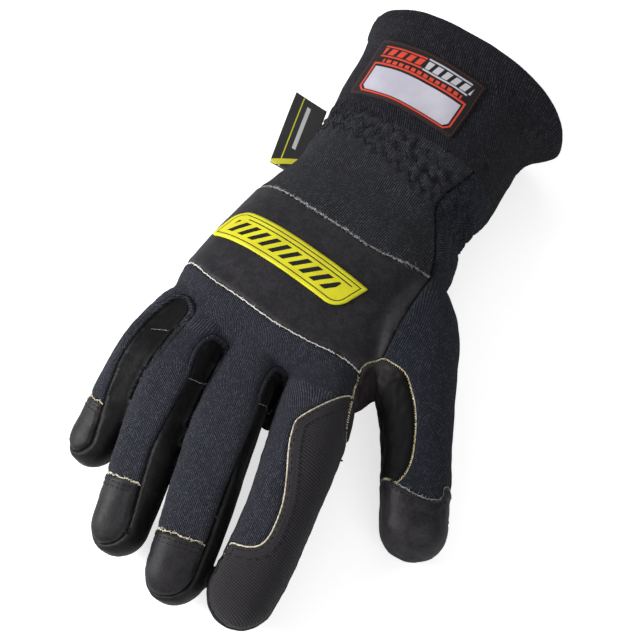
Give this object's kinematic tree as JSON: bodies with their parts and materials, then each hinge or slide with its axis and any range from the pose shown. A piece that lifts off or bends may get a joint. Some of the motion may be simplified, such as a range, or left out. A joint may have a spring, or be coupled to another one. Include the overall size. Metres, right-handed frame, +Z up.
{
  "type": "firefighter glove",
  "caption": "Right-hand firefighter glove with knit back, leather palm and fingertips, a leather knuckle band, elastic wrist and flared gauntlet cuff, lying palm down.",
  "frame": {"origin": "on the palm's flat underside, between the knuckles and the wrist", "axes": "+Z up out of the back of the hand, +Y along the glove towards the cuff's mouth, the fingers point along -Y, +X towards the thumb"},
  "size_m": [0.1522, 0.278, 0.0649],
  "materials": {
    "knit": "matte ribbed knit",
    "palm_leather": "satin",
    "band_leather": "satin",
    "index_twill": "matte twill",
    "badge": "satin",
    "label": "woven satin",
    "tag": "woven satin",
    "seam_thread": "frayed thread"
  },
  "bodies": {
    "root": {"palm": "palm_leather", "finger_back": "knit", "wrist_back": "knit", "thumb_side": "knit", "cuff": "knit", "knuckle_band": "band_leather", "cap_little": "band_leather", "cap_ring": "band_leather", "cap_middle": "band_leather", "thumb_cap": "band_leather", "web_patch": "band_leather", "index_panel": "index_twill", "badge": "badge", "name_label": "label", "side_tag": "tag"}
  },
  "joints": []
}
